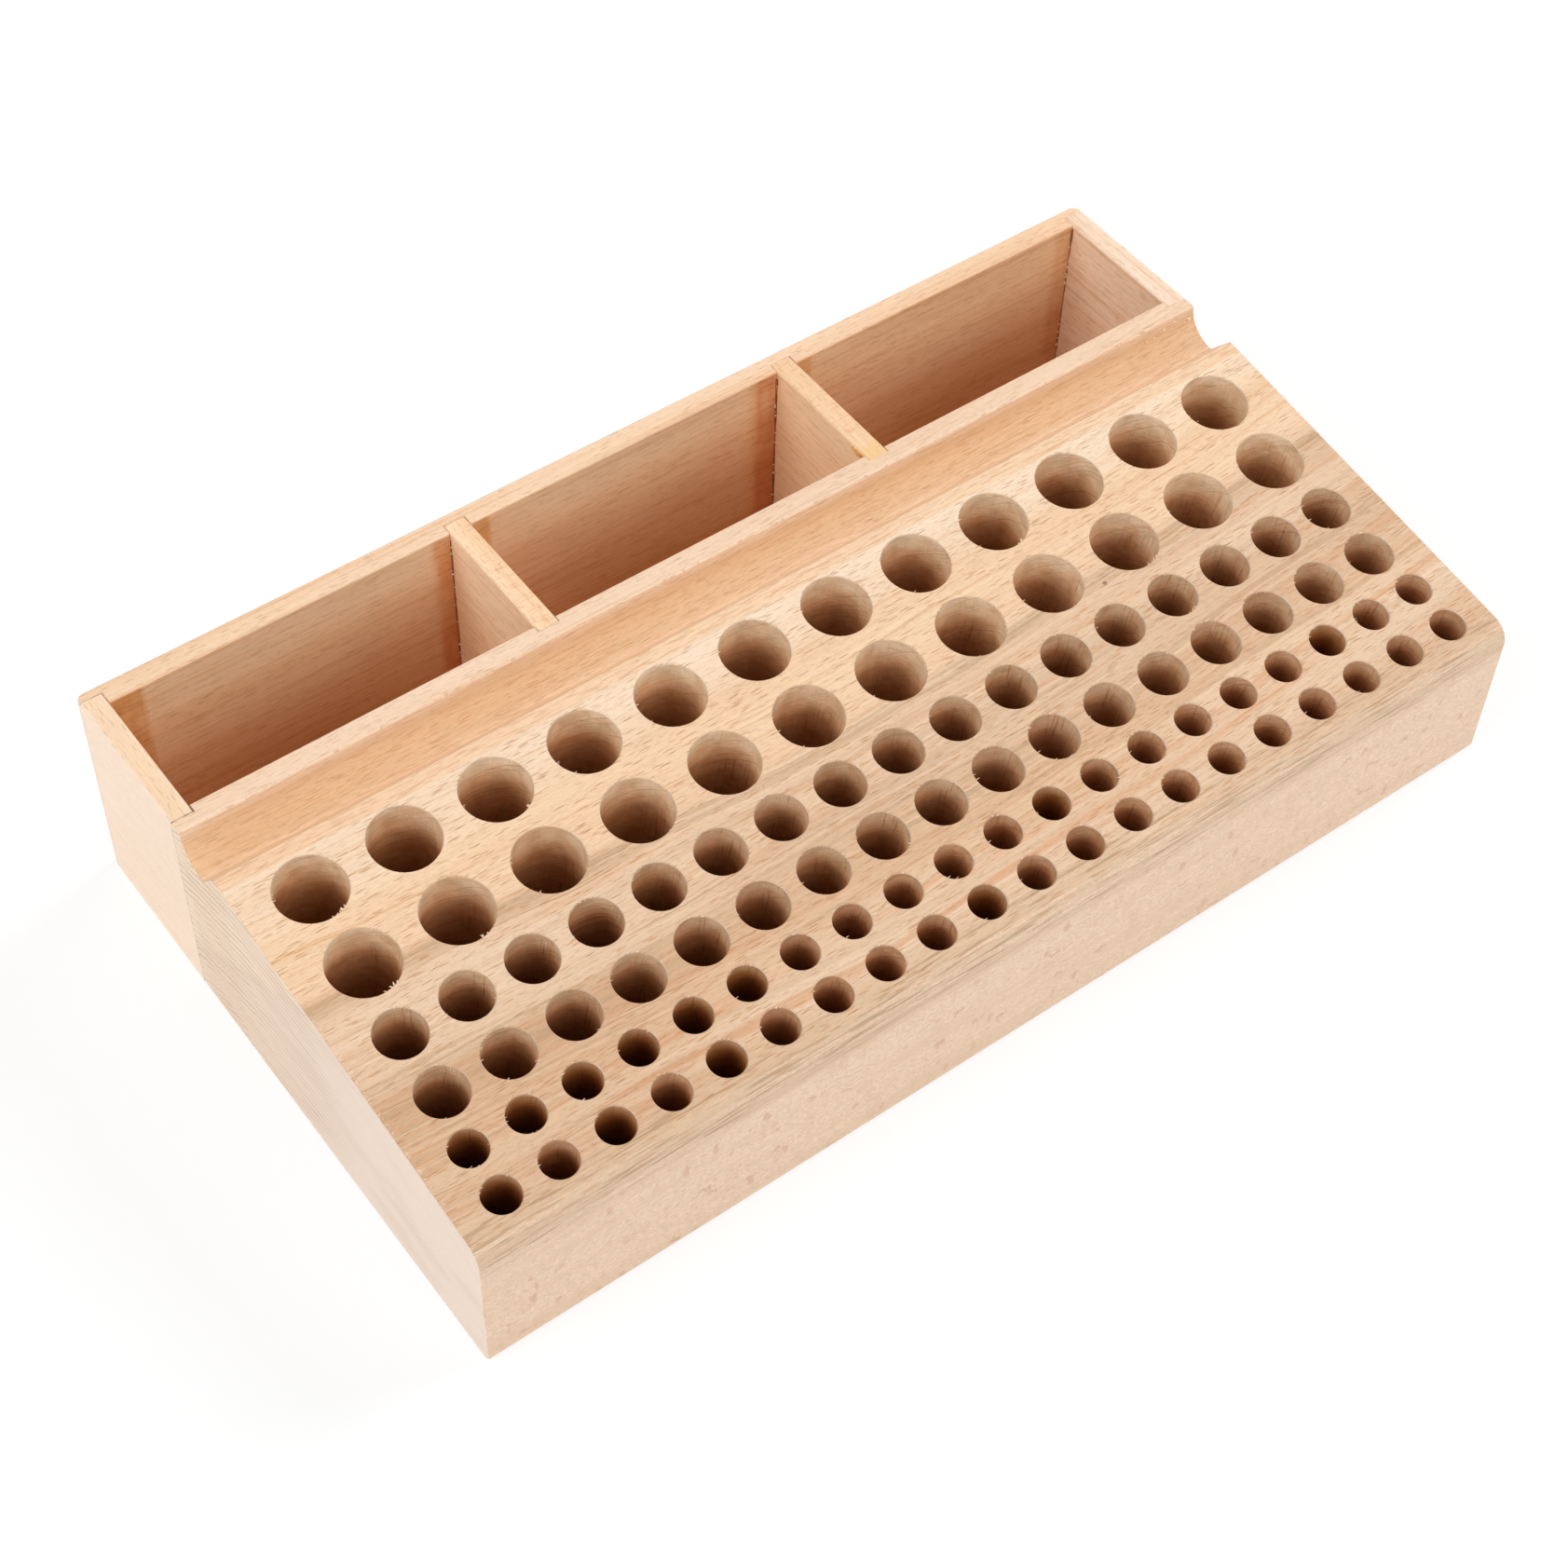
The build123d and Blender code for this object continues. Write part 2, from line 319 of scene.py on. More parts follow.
pores = wood.dapple((1.8, 0.26, 0.26), 2, 61.0)
pore_dark = wood.fade(pores, 0.58, 0.72)
colour = wood.shade(colour, (-0.10, pore_dark), plus=1.0)

# which hole it is: the row from 0, whether past the large and past the medium rows, and the hole from 0
row_number = wood.mixture(*[
    (1.0, wood.work("GREATER_THAN", down, (a + b) / 2)) for a, b in zip(row_down, row_down[1:])])
past_large, past_medium = (wood.work("GREATER_THAN", row_number, last + 0.5) for last in (1, 3))


def by_size(large, medium, small):
    """A number of its own for each of the three sizes of hole."""
    return wood.mixture((medium - large, past_large), (small - medium, past_medium), plus=large)


def same(value, whole):
    """1 where the value is that whole number."""
    return wood.work("COMPARE", value, whole, 0.2)


bores, pitches, counts = zip(*hole_rows[::2])
bore, pitch = by_size(*bores), by_size(*pitches)
half_count = by_size(*[count / 2 for count in counts])
number = wood.work("FLOOR", wood.work("ADD", wood.work("DIVIDE", wood.x, pitch), half_count))
which = wood.add("CombineXYZ", {0: number, 1: row_number}).outputs[0]
luck = wood.add("TexWhiteNoise", {"Vector": which}, noise_dimensions="3D").outputs["Value"]
scorch = wood.mixture(*[
    (1.0, wood.product(same(row_number, row - 1.0), same(number, n - 1.0)))
    for row, numbers in scorched_holes.items() for n in numbers])

# the walls of the holes: browner with depth, partly from the heat of the drill and partly as painted shade
# that deepens with depth over bore, with lines round them from the cutter
round_the_wall = wood.add("CombineXYZ", {0: wood.x, 1: down, 2: depth}).outputs[0]
deep = wood.work("DIVIDE", depth, bore)
wall = wood.bands(deep, (
    (0.0, (255, 255, 255)), (0.3, (255, 249, 241)), (0.5, (250, 233, 217)), (0.64, (238, 210, 187)),
    (0.76, (224, 194, 171)), (1.05, (215, 183, 154))))
wall = wood.tint(wall, (240, 233, 227), past_large)
wall = wood.tint(wall, (246, 234, 226), past_medium)
wall = wood.tint(wall, (238, 228, 220), luck, 0.5)
cut_lines = wood.dapple((5, 5, 0.55), 3, 66.0, at=round_the_wall, roughness=0.6)
wall = wood.tint(wall, (226, 206, 188), wood.fade(cut_lines, 0.48, 0.68), 0.38)
wall = wood.shade(wall, (0.35, wood.dapple((5, 5, 3.5), 2, 67.0, at=round_the_wall)), plus=0.84)
# painted light: the hole walls that face the front are made up to 17 % lighter, those that also face toward
# +X up to 14 % more in the large holes, and all of them are first made about 7 % darker, as if lit from the
# front
painted_light_back = wood.product(wood.fade(wood.facing["y"], -0.6, -1.0), wood.fade(deep, 0.0, 0.6))
painted_light_square = wood.fade(wood.facing["y"], -0.85, -1.0)
painted_light_square_right = wood.product(
    painted_light_square, wood.fade(wood.facing["x"], -0.2, 0.2), wood.mixture((-0.6, past_large), plus=1.0))
wall = wood.shade(wall, (0.17, painted_light_back), (0.04, painted_light_square), (0.14, painted_light_square_right), plus=0.928)
for tone, strength, low, high, size, seed in (
        ((236, 232, 220), 0.5, 0.46, 0.62, (4, 4, 6), 77.0),
        ((246, 228, 216), 0.6, 0.44, 0.62, (5, 5, 5), 78.0)):
    wall = wood.tint(wall, tone, wood.patches(low, high, size, 3, seed, at=round_the_wall), strength)
wall = wood.tint(wall, (216, 186, 158), wood.patches(0.60, 0.68, (60, 0.6, 40), 2, 79.0, at=sheet), 0.6)
upright_lines = wood.patches(0.54, 0.70, (0.5, 0.5, 12), 3, 80.0, at=round_the_wall, roughness=0.6)
right_of_hole = wood.product(in_heart, wood.fade(wood.facing["x"], -0.2, -0.7))
wall = wood.tint(wall, (208, 180, 156), upright_lines, wood.mixture((0.55, right_of_hole), plus=0.15))
wall = wood.tint(wall, (204, 175, 126), scorch, wood.fade(depth, -1.0, 5.0), 0.9)
colour = wood.tint(colour, wall, in_hole)

# joints with the end walls and dividers, and one small pit in the slope
broken = wood.patches(0.40, 0.56, (2.5, 2.5, 2.5), 2, 73.0)
by_end_wall = wood.product(
    wood.fade(wood.y, wall_front_y - 0.4, wall_front_y - 0.2),
    wood.fade(across_x, wall_inner_x - 0.4, wall_inner_x - 0.2))
by_divider = wood.product(
    wood.fade(wood.y, divider_front_y - 0.3, divider_front_y - 0.1),
    wood.fade(wood.apart(across_x, divider_x), divider_half + 0.3, divider_half + 0.2))
joints_fade = (170.0, -60.0)
seam = wood.product(
    wood.work("MAXIMUM", by_end_wall, wood.work("MULTIPLY", by_divider, 0.35)),
    wood.mixture((0.7, broken), plus=0.3), wood.mixture((0.65, upward), plus=0.35),
    wood.fade(wood.x, *joints_fade))
colour = wood.lay(colour, (86, 58, 38), seam, 0.85)
pit_x, pit_down, pit_stretch = 74.8, 30.0, 1.1
from_pit = wood.add("CombineXYZ", {
    0: wood.work("DIVIDE", wood.work("SUBTRACT", wood.x, pit_x), pit_stretch),
    1: wood.work("SUBTRACT", down, pit_down)}).outputs[0]
pit = wood.product(wood.fade(wood.vector("LENGTH", from_pit), 0.75, 0.35), face_on)
colour = wood.lay(colour, (132, 102, 78), pit, 0.8)

relief_depth = 0.10
ridges = wood.dapple((30, 30, 0.45), 2, 71.0, at=round_the_wall)
ridges = wood.work("MULTIPLY", wood.work("ADD", ridges, cut_lines), in_hole)
height = wood.mixture((0.5, fibres), (-0.5, pore_dark), (-0.3, ray_mark), (0.7, ridges))
block_finish = wood.finish(colour, height, relief_depth, wood.mixture((0.2, pores), plus=0.55))
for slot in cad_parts["tool_block"].material_slots:
    slot.material = block_finish


# Tray boards. Thin beech boards, planed, sanded and glued into the housings and rebates of the block
# and of each other: the floor, two end walls, two dividers and the back board.

wall_rear_y, divider_rear_y, back_y = 84.2, 83.7, 87.0


def planed_board(name, along, light, dark, inside_shade, figure, seed):
    """Planed beech with its grain along X or Y, figure its grain; its inside faces get painted shade, mostly
    darker toward the floor, as strong as the argument after dark.
    """
    wood = Finish(name)
    turned = wood.place
    if along == "y":
        turned = wood.add("CombineXYZ", {0: wood.y, 1: wood.x, 2: wood.z}).outputs[0]
    upward = wood.fade(wood.facing["z"], 0.4, 0.8)
    end_faces = wood.product(
        wood.fade(wood.work("ABSOLUTE", wood.x), wall_inner_x + 2, wall_inner_x + 3),
        wood.fade(wood.work("ABSOLUTE", wood.facing["x"]), 0.05, 0.3))
    rear_face = wood.product(
        wood.fade(wood.y, back_y - 2.7, back_y - 2.4), wood.fade(wood.facing["y"], 0.05, 0.3))
    outside = wood.work("MAXIMUM", end_faces, rear_face)
    inside = wood.product(wood.without(upward), wood.without(outside), wood.fade(wood.z, top_z, top_z - 0.8))

    colour = wood.lay(light, dark, wood.patches(0.34, 0.68, (150, 7, 14), 2, seed, at=turned))
    colour = wood.lay(colour, (250, 228, 208), outside, 0.85)
    thread = wood.patches(0.50, 0.70, (90, 1.2, 1.8), 3, seed + 5, at=turned, roughness=0.65)
    colour = wood.tint(colour, (236, 214, 192), thread, wood.mixture((-0.6 * figure, outside), plus=figure))
    dashes = wood.patches(0.56, 0.68, (4.5, 0.6, 0.34), 2, seed + 9, at=turned)
    colour = wood.tint(colour, (222, 198, 176), dashes, wood.mixture((0.45, inside), plus=0.15))
    fibres = wood.dapple((22, 0.38, 0.38), 3, seed + 7, at=turned, roughness=0.6)
    colour = wood.shade(colour, (0.22, fibres), plus=0.89)
    lean = wood.add(
        "VectorRotate", {"Vector": turned, "Angle": math.radians(45)}, rotation_type="X_AXIS").outputs[0]
    plates = wood.rays((5.6, 11, 0.62), 0.28, seed + 3, at=lean)
    colour = wood.lay(colour, (196, 146, 102), plates, wood.mixture((0.26, upward), plus=0.08))
    pores = wood.dapple((1.8, 0.26, 0.26), 2, seed + 11, at=turned)
    pore_dark = wood.fade(pores, 0.58, 0.72)
    colour = wood.shade(colour, (-0.10, pore_dark), plus=1.0)
    # painted shade: the inside faces darken toward the floor of the tray, as strongly as the board's shade
    # number asks
    painted_shade_by_height = wood.bands(wood.z, (
        (5, (228, 200, 181)), (32, (234, 213, 196)), (52, (243, 236, 226)), (63, (238, 229, 216))))
    colour = wood.tint(colour, painted_shade_by_height, inside, inside_shade)
    relief = wood.mixture((0.5, fibres), (-0.5, pore_dark), (-0.3, plates))
    return wood, colour, inside, relief, wood.mixture((0.2, pores), plus=0.55)


def glue_stained(wood, colour, inside, strips, seed):
    """Upright strips on an inside face where wiped glue soaked in: from and to along X, tone and strength."""
    wander = wood.mixture((1.6, wood.dapple((1.2, 9, 14), 3, seed)), (1.0, wood.x), plus=-0.8)
    for low, high, tone, strength in strips:
        uneven = wood.mixture((0.4, wood.patches(0.30, 0.60, (5, 9, 12), 3, seed + 1)), plus=0.6)
        strip = wood.product(wood.belt(wander, low - 1.6, low + 1.6, high - 0.9, high + 0.9), inside, uneven)
        colour = wood.tint(colour, tone, strip, strength)
    return colour


stains = {"back_board": (
    (-152.0, -140.5, (232, 190, 130), 0.9), (-58.6, -52.0, (238, 192, 156), 0.9),
    (-47.6, -42.2, (238, 200, 138), 0.8), (40.8, 49.0, (230, 184, 148), 0.9),
    (38.6, 40.6, (255, 232, 190), 0.5), (53.7, 58.8, (236, 204, 158), 0.7),
    (143.5, 152.0, (238, 214, 190), 0.6))}
for node, along, light, dark, inside_shade, figure, seed in (
        ("tray_floor", "x", (240, 200, 160), (230, 184, 142), 1.0, 0.6, 71.0),
        ("left_end_wall", "y", (247, 219, 190), (243, 209, 174), 0.4, 0.35, 83.0),
        ("right_end_wall", "y", (249, 225, 202), (246, 216, 188), 0.45, 0.8, 97.0),
        ("left_divider", "y", (251, 219, 184), (246, 207, 167), 0.04, 0.35, 103.0),
        ("right_divider", "y", (252, 221, 185), (247, 210, 171), 0.05, 0.30, 113.0),
        ("back_board", "x", (251, 221, 190), (245, 209, 173), 1.0, 0.5, 127.0)):
    wood, colour, inside, relief, roughness = planed_board(
        node + "_beech", along, light, dark, inside_shade, figure, seed)
    colour = glue_stained(wood, colour, inside, stains.get(node, ()), seed + 20)
    top_on = wood.fade(wood.facing["z"], 0.3, 0.6)

    # the dark line of glue where it meets its neighbours
    seam_strength = 1.0
    if node == "back_board":
        across_x = wood.work("ABSOLUTE", wood.x)
        by_wall = wood.product(
            wood.fade(across_x, wall_inner_x - 0.25, wall_inner_x - 0.1),
            wood.fade(wood.y, wall_rear_y + 0.3, wall_rear_y + 0.15))
        by_divider = wood.product(
            wood.fade(wood.apart(across_x, divider_x), divider_half + 0.25, divider_half + 0.15),
            wood.fade(wood.y, divider_rear_y + 0.25, divider_rear_y + 0.1))
        seam = wood.work("MAXIMUM", by_wall, by_divider)
        seam_strength = 0.6
    elif node.endswith("wall"):
        middle_y, half = (wall_front_y + wall_rear_y) / 2, (wall_rear_y - wall_front_y) / 2
        seam = wood.fade(wood.apart(wood.y, middle_y), half - 0.2, half - 0.05)
    else:
        middle_y, half = (divider_front_y + divider_rear_y) / 2, (divider_rear_y - divider_front_y) / 2
        seam = wood.product(wood.fade(wood.apart(wood.y, middle_y), half - 0.2, half), 0.4)
    broken = wood.patches(0.40, 0.56, (2.5, 2.5, 2.5), 2, seed + 30)
    seam_shown = wood.product(
        wood.mixture((0.5, top_on), plus=0.2), wood.fade(wood.x, *joints_fade), seam_strength)
    colour = wood.lay(colour, (92, 62, 40), seam, wood.mixture((0.7, broken), plus=0.3), seam_shown)

    # what only some of the boards show
    if node == "back_board":
        colour = wood.shade(colour, (0.0002, wood.x), plus=1.0)
    if node in ("right_divider", "back_board"):
        colour = wood.tint(colour, (248, 242, 237), top_on)
    if node.endswith("divider"):
        cross_marks = wood.patches(0.52, 0.66, (4.0, 0.8, 9), 3, seed + 33, roughness=0.6)
        colour = wood.tint(colour, (240, 206, 182), cross_marks, top_on, 0.5)
    if node == "right_divider":
        soaked_to = wood.mixture((1.0, wood.y), (9.0, wood.dapple((2.2, 3, 3), 3, 131.0)))
        soaked = wood.product(wood.fade(soaked_to, 51.0, 48.0), wood.fade(wood.z, 40.0, 52.0))
        colour = wood.lay(colour, (240, 198, 132), soaked, 0.6)
    board_finish = wood.finish(colour, relief, relief_depth, roughness)
    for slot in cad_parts[node].material_slots:
        slot.material = board_finish


# Torn fibres. The drills and the saw lifted short pale fibres of the block round the mouths of the holes,
# along its left end, along the front of the rim and down the left front corner. Sanding left them standing.

def sliver(shape, start, run, out, width, thickness):
    """One thin tapered fibre, from its start along run; out is the way it is thick."""
    points, faces = shape
    side = run.cross(out).normalized() * width / 2
    lift = out.normalized() * thickness
    first = len(points)
    for share, wide in ((0.0, 0.8), (0.55, 1.0)):
        centre = start + run * share
        points += [centre - side * wide, centre + side * wide,
                   centre + side * wide * 0.6 + lift, centre - side * wide * 0.6 + lift]
    points.append(start + run + lift * 0.4)
    faces.append((first, first + 1, first + 2, first + 3))
    for a in range(4):
        b = (a + 1) % 4
        faces.append((first + b, first + a, first + 4 + a, first + 4 + b))
        faces.append((first + 4 + b, first + 4 + a, first + 8))


def on_mouth(row, i, angle, beyond):
    """A point by the mouth of hole i of a row, at an angle from +X and that far outside the bore."""
    bore_size, pitch_size, hole_count = hole_rows[row]
    centre = first_mouth - up * row_down[row] + along_x * (i - (hole_count - 1) / 2) * pitch_size
    return centre + (along_x * math.cos(angle) + up * math.sin(angle)) * (bore_size / 2 + beyond)


def mottled(name, light, dark, size, detail, seed, depth, rough_from, rough_by):
    """A finish that wanders between two tones in patches of that size, with relief of that depth."""
    skin = Finish(name)
    spread = skin.dapple(size, detail, seed)
    colour = skin.lay(light, dark, skin.fade(spread, 0.35, 0.65))
    return skin.finish(colour, spread, depth, skin.mixture((rough_by, spread), plus=rough_from))


def piece_of(name, shape, material):
    """A mesh piece in mm from (points, faces), riding on the holder."""
    points, faces = shape
    mesh = bpy.data.meshes.new(name)
    mesh.from_pydata([point * mm for point in points], [], faces)
    mesh.materials.append(material)
    piece = bpy.data.objects.new(name, mesh)
    bpy.context.collection.objects.link(piece)
    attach(piece, "root")


chance = random.Random(11)
along_x, up, out = Vector((1, 0, 0)), Vector(up_slope), Vector(out_of_slope)
first_mouth = Vector((0, first_row_y, first_row_z))
torn_fibre = mottled("torn_fibre", (248, 228, 204), (226, 194, 160), (3, 3, 3), 2, 141.0, 0.05, 0.6, 0.2)

mouths = ([], [])
for row, (bore_size, _, hole_count) in enumerate(hole_rows):
    for i in range(hole_count):
        for _ in range(round(bore_size * 0.75)):
            bearings = (chance.gauss(90, 40), chance.gauss(75, 25), chance.gauss(85, 75))
            angle = math.radians(chance.choice(bearings))
            start = on_mouth(row, i, angle, chance.uniform(0.1, 0.3))
            inward = -1 if math.cos(angle) > 0 else 1
            if abs(math.cos(angle)) < 0.35:
                inward = chance.choice((-1, 1))
            turn = math.radians(chance.gauss(0, 24))
            run = along_x * inward * math.cos(turn) - up * math.sin(angle) * abs(math.sin(turn))
            run = (run + out * chance.uniform(0.0, 0.30)) * chance.uniform(0.4, 1.1)
            start += out * 0.01
            sliver(mouths, start, run, out, chance.uniform(0.10, 0.22), chance.uniform(0.05, 0.12))
# tufts stand where the drill tore more: row and hole from 0, bearing in degrees from +X, and how many
tufts = (
    (0, 0, -75, 7), (0, 2, -60, 4), (1, 0, -78, 4), (0, 8, -75, 4), (1, 9, -85, 5), (2, 13, -80, 4),
    (1, 1, -85, 3))
for row, i, bearing, number_of in tufts:
    for _ in range(number_of):
        start = on_mouth(row, i, math.radians(bearing + chance.gauss(0, 9)), 0.15)
        run = along_x * chance.uniform(-1, 1) + up * chance.uniform(0.4, 1.2) + out * chance.uniform(0.2, 0.7)
        run = run.normalized() * chance.uniform(0.5, 1.1)
        sliver(mouths, start, run, out, chance.uniform(0.18, 0.34), chance.uniform(0.08, 0.15))
piece_of("fibres_round_holes", mouths, torn_fibre)

edges = ([], [])
# along the left end of the slope
for _ in range(70):
    y = chance.uniform(-78.0, 16.0)
    z = first_row_z + (y - first_row_y) * math.tan(slope_angle)
    run = up * chance.gauss(0, 0.5) + along_x * chance.uniform(0.5, 1.0)
    run = run.normalized() * chance.uniform(0.4, 1.2)
    start = Vector((0.25 - half_length + chance.uniform(0, 0.2), y, z - 0.06))
    sliver(edges, start, run + out * 0.08, out, chance.uniform(0.08, 0.18), chance.uniform(0.04, 0.08))
# down the left front corner
corner_radius = 0.5
corner_x, corner_y = corner_radius - half_length, front_y + corner_radius
for _ in range(70):
    angle = math.radians(225 + chance.uniform(-9, 9))
    away = Vector((math.cos(angle), math.sin(angle), 0))
    run = Vector((0, 0, chance.choice((-1, 1)))) * chance.uniform(0.4, 1.3)
    start = Vector((corner_x, corner_y, chance.uniform(3.0, 38.0))) + away * (corner_radius - 0.06)
    sliver(edges, start, run, away, chance.uniform(0.08, 0.15), chance.uniform(0.05, 0.09))
# along the front of the rim
for _ in range(110):
    start = Vector((chance.uniform(-153.0, 151.5), rim_front_y + 0.1, top_z - 0.45))
    run = Vector((chance.choice((-1, 1)), chance.gauss(0, 0.22), chance.uniform(-0.15, 0.05)))
    run = run.normalized() * chance.uniform(0.6, 1.8)
    sliver(edges, start, run, Vector((0, -1, 0.7)), chance.uniform(0.08, 0.19), chance.uniform(0.04, 0.10))
piece_of("fibres_on_edges", edges, torn_fibre)


# Glue. A thin dark line of it was left in every inside corner of the tray where a board meets the block or
# the back board, with small pale crumbs of dust and glue stuck to it, and two lumps at the right divider.

def glue_line(shape, corner, toward_a, toward_b, low, high):
    """A thin uneven fillet of glue up a corner, toward_a and toward_b being the ways its two walls run."""
    points, faces = shape
    if toward_a.cross(toward_b).z < 0:
        toward_a, toward_b = toward_b, toward_a
    steps, size, thinnest, thickest = 26, 0.3, 0.14, 0.5
    first = len(points)
    for n in range(steps + 1):
        size = min(max(size + chance.gauss(0, 0.07), thinnest), thickest)
        foot = Vector((corner[0], corner[1], low + (high - low) * n / steps))
        a, b = toward_a * size, toward_b * size * chance.uniform(0.7, 1.3)
        points += [foot - (toward_a + toward_b) * 0.04, foot + a, foot + (a + b) * 0.34, foot + b]
    for n in range(steps):
        for k in range(4):
            p, q = first + 4 * n + k, first + 4 * n + (k + 1) % 4
            faces.append((p, q, q + 4, p + 4))
    faces.append((first + 3, first + 2, first + 1, first))
    last = first + 4 * steps
    faces.append((last, last + 1, last + 2, last + 3))


def crumb(shape, centre, size):
    """A small lump of no regular shape, of four rings of five points."""
    points, faces = shape
    first = len(points)
    for level, reach in ((-0.9, 0.35), (-0.3, 1.0), (0.4, 0.85), (1.0, 0.3)):
        for k in range(5):
            angle = math.tau * k / 5 + level
            far = reach * chance.uniform(0.7, 1.2)
            points.append(centre + Vector((math.cos(angle) * far, math.sin(angle) * far, level)) * size / 2)
    for level in range(3):
        for k in range(5):
            p, q = first + 5 * level + k, first + 5 * level + (k + 1) % 5
            faces.append((p, q, q + 5, p + 5))
    faces.append(tuple(first + k for k in (4, 3, 2, 1, 0)))
    faces.append(tuple(first + 15 + k for k in range(5)))


lines, crumbs, lumps = ([], []), ([], []), ([], [])
tray_front_y, tray_back_y, floor_top_z = 42.7, 80.7, 5.0
divider_near_x, divider_far_x = 47.633, 53.733
compartments = (
    (-wall_inner_x, -divider_far_x), (-divider_near_x, divider_near_x), (divider_far_x, wall_inner_x))
for left, right in compartments:
    for x, way in ((left, 1), (right, -1)):
        for y, back in ((tray_back_y, -1), (tray_front_y, 1)):
            corner, sideways, backways = (x, y), Vector((way, 0, 0)), Vector((0, back, 0))
            glue_line(lines, corner, sideways, backways, floor_top_z + 0.1, chance.uniform(60.5, 62.6))
            for _ in range(14 if back < 0 and way < 0 else 3):
                away = Vector((way * chance.uniform(0.15, 0.6), back * chance.uniform(0.15, 0.5), 0))
                crumb(crumbs, Vector((x, y, chance.uniform(14, 61))) + away, chance.uniform(0.3, 0.7))
dark_glue = mottled("dark_glue", (168, 106, 66), (122, 72, 44), (2, 2, 5), 3, 151.0, 0.08, 0.3, 0.3)
piece_of("glue_lines", lines, dark_glue)

# a few more crumbs lie below the rim's front edge, near its right-hand end
for place in (
        (147.8, 36.7, 61.8), (152.9, 36.3, 60.4), (137.7, 36.1, 60.0), (140.5, 36.15, 60.0),
        (144.2, 36.5, 61.0)):
    crumb(crumbs, Vector(place), chance.uniform(0.7, 1.1))
pale_crumbs = mottled("pale_crumbs", (250, 226, 194), (228, 190, 150), (1, 1, 1), 2, 161.0, 0.05, 0.6, 0.2)
piece_of("crumbs", crumbs, pale_crumbs)

lump_steps, lump_step = 16, 0.33
for x, top, spread in ((47.55, 62.6, 1.6), (53.4, 62.85, 0.5)):
    for n in range(lump_steps):
        y = tray_front_y + 0.3 + n * lump_step
        z = top - chance.uniform(0, spread) * (1 - n / lump_steps)
        crumb(lumps, Vector((x, y, z)), chance.uniform(0.5, 1.1))
amber_glue = mottled("amber_glue", (236, 184, 104), (214, 150, 72), (2, 2, 2), 2, 171.0, 0.05, 0.3, 0.2)
piece_of("glue_lumps", lumps, amber_glue)


# What the holder stands on: a plain white table top. It is lit by large soft lamps at the left, at the
# right and in front, a low one at the front left, a weak one at the back left, and pale walls all round.

def any_ray(tree, *kinds):
    """1 for a ray of one of these kinds, 0 for any other."""
    path = tree.nodes.new("ShaderNodeLightPath")
    found = path.outputs[kinds[0]]
    for kind in kinds[1:]:
        either = tree.nodes.new("ShaderNodeMath")
        either.operation = "MAXIMUM"
        tree.links.new(found, either.inputs[0])
        tree.links.new(path.outputs[kind], either.inputs[1])
        found = either.outputs[0]
    return found


def shader(tree, kind, **values):
    """A shader node with plain values on its inputs."""
    node = tree.nodes.new("ShaderNode" + kind)
    for name, value in values.items():
        node.inputs[name].default_value = value
    return node


reach = 3.0
table = bpy.data.objects.new("table_top", bpy.data.meshes.new("table_top"))
table.data.from_pydata(
    [(-reach, -reach, 0), (reach, -reach, 0), (reach, reach, 0), (-reach, reach, 0)], [], [(0, 1, 2, 3)])
bpy.context.collection.objects.link(table)
white = bpy.data.materials.new("table_white")
white.use_nodes = True
tree = white.node_tree
tree.nodes.clear()
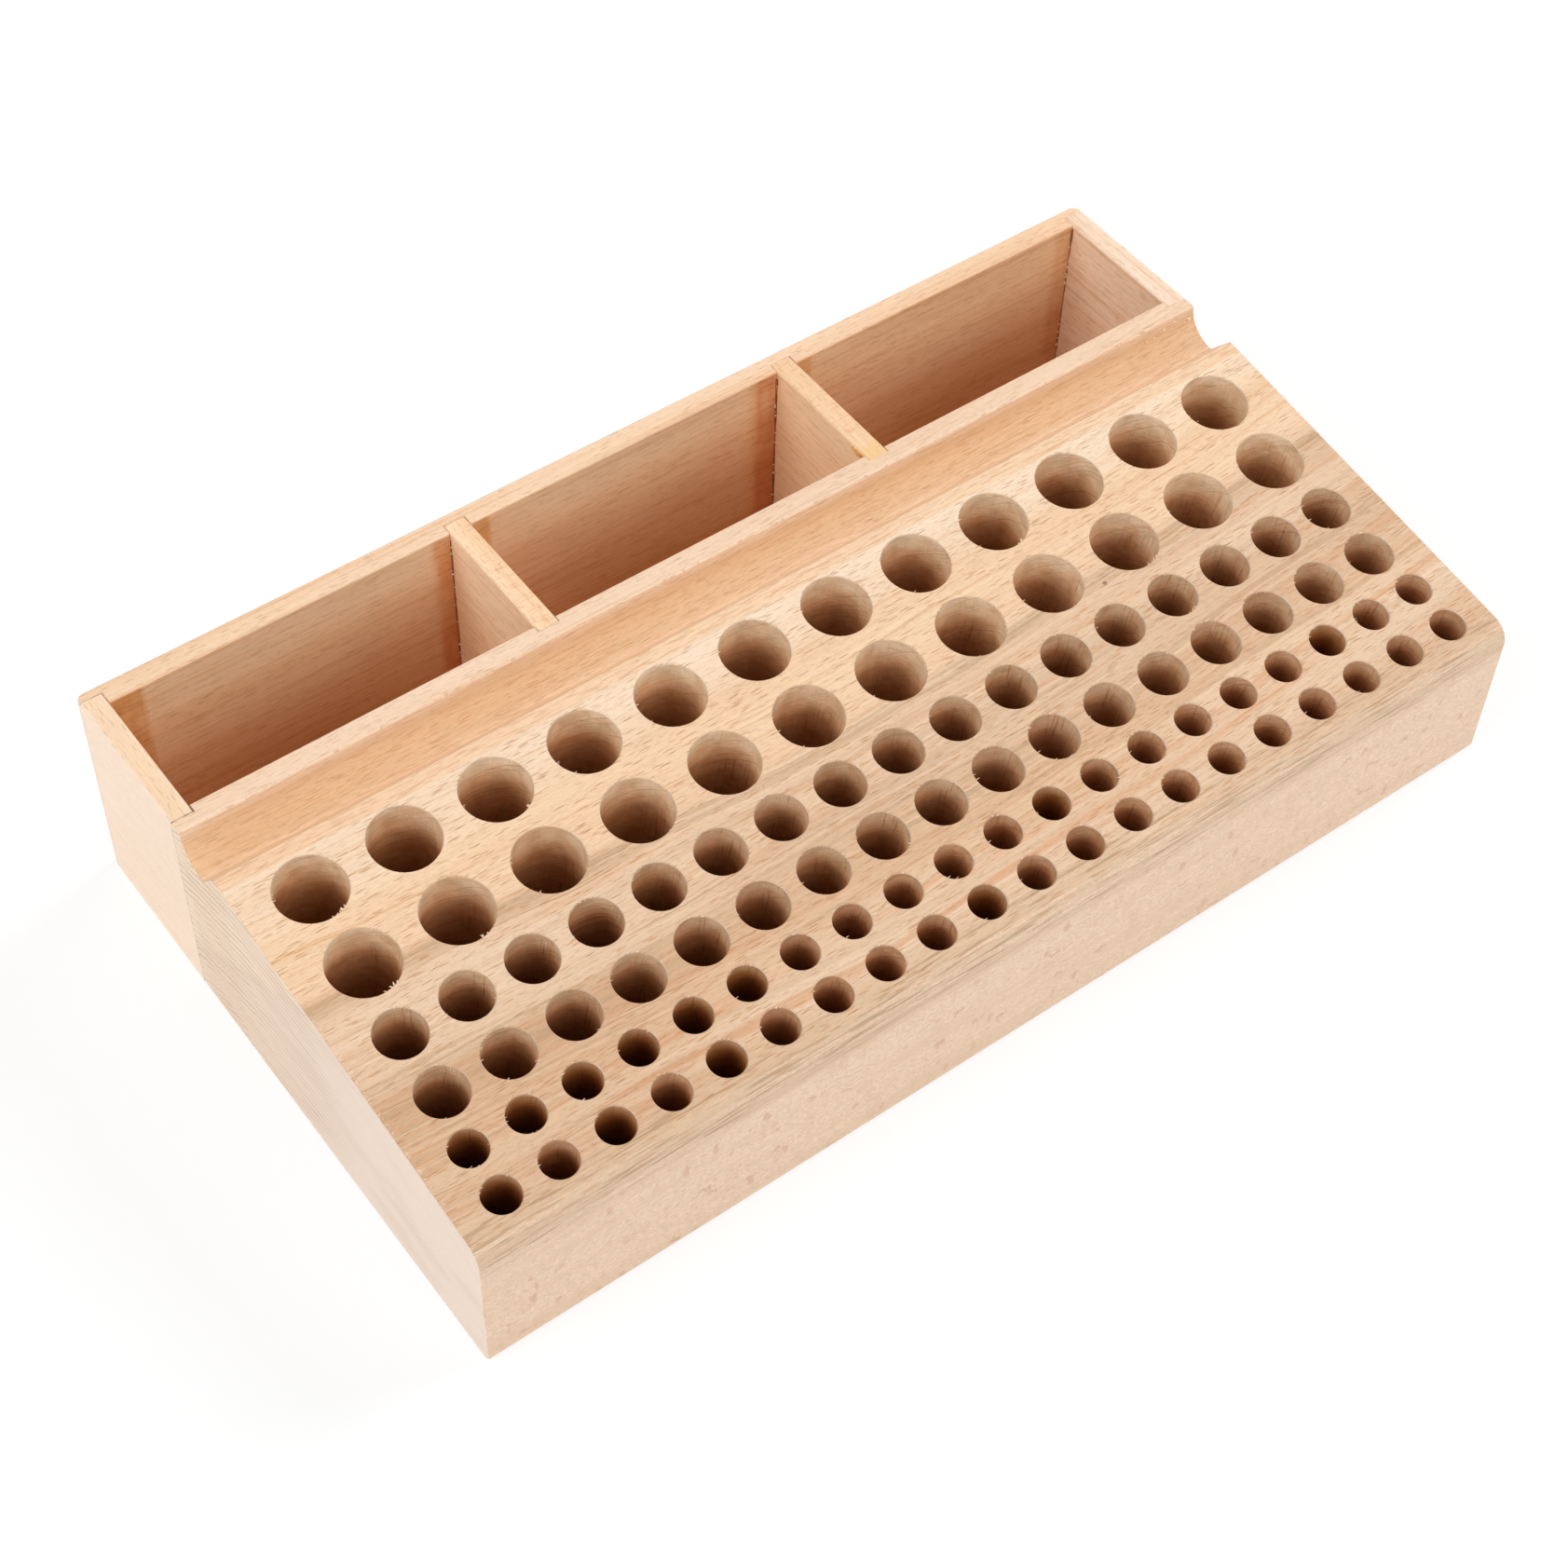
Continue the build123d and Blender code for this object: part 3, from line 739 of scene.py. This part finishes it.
# it glows for the camera, so that it stays white with a faint shadow, and is plain for all other light
plain = shader(tree, "BsdfDiffuse", Color=(0.9, 0.9, 0.9, 1))
faint = shader(tree, "BsdfDiffuse", Color=(0.3, 0.3, 0.3, 1))
glow = shader(tree, "Emission", Color=(1, 1, 1, 1), Strength=0.72)
both, mix, output = shader(tree, "AddShader"), shader(tree, "MixShader"), shader(tree, "OutputMaterial")
for source, target in (
        (faint.outputs[0], both.inputs[0]), (glow.outputs[0], both.inputs[1]),
        (any_ray(tree, "Is Camera Ray", "Is Glossy Ray"), mix.inputs[0]),
        (plain.outputs[0], mix.inputs[1]), (both.outputs[0], mix.inputs[2]),
        (mix.outputs[0], output.inputs["Surface"])):
    tree.links.new(source, target)
table.data.materials.append(white)

lamp_width = math.radians(37)
for place, turn, height, strength in (
        ("left", -90, 35, 0.32), ("right", 90, 35, 0.57), ("front", 180, 35, 0.265),
        ("low_corner", -142, 12, 0.165), ("behind", -45, 50, 0.185)):
    lamp = bpy.data.objects.new("lamp_" + place, bpy.data.lights.new("lamp_" + place, "SUN"))
    lamp.data.energy = strength * math.pi
    lamp.data.angle = lamp_width
    lamp.matrix_world = (
        Matrix.Rotation(-math.radians(turn), 4, "Z") @ Matrix.Rotation(-math.radians(90 - height), 4, "X"))
    bpy.context.collection.objects.link(lamp)

# the walls look white, and light the holder with less than that
world = bpy.data.worlds.new("studio")
world.use_nodes = True
tree = world.node_tree
backdrop = tree.nodes["Background"]
backdrop.inputs["Color"].default_value = (1, 1, 1, 1)
brightness = tree.nodes.new("ShaderNodeMapRange")
brightness.inputs["To Min"].default_value = 0.24
brightness.inputs["To Max"].default_value = 1.0
seen_directly = any_ray(tree, "Is Camera Ray", "Is Glossy Ray", "Is Transmission Ray")
tree.links.new(seen_directly, brightness.inputs["Value"])
tree.links.new(brightness.outputs[0], backdrop.inputs["Strength"])
bpy.context.scene.world = world
bpy.context.scene.view_settings.view_transform = "Standard"


# Camera. It looks down over the front left corner of the holder, at the place, heading, tilt and roll
# that were fitted to the rims of the holes in the photograph.

heading, tilt, roll = (math.radians(angle) for angle in (38.5356, 51.4340, 2.5511))
stands_at = Vector((-301.67, -368.44, 603.84)) * mm
camera = bpy.data.objects.new("camera", bpy.data.cameras.new("camera"))
camera.matrix_world = (
    Matrix.Translation(stands_at) @ Matrix.Rotation(-heading, 4, "Z")
    @ Matrix.Rotation(math.pi / 2 - tilt, 4, "X") @ Matrix.Rotation(roll, 4, "Z"))
camera.data.lens = 68.018
camera.data.sensor_width = 36.0
camera.data.clip_start = 0.01
bpy.context.collection.objects.link(camera)
bpy.context.scene.camera = camera
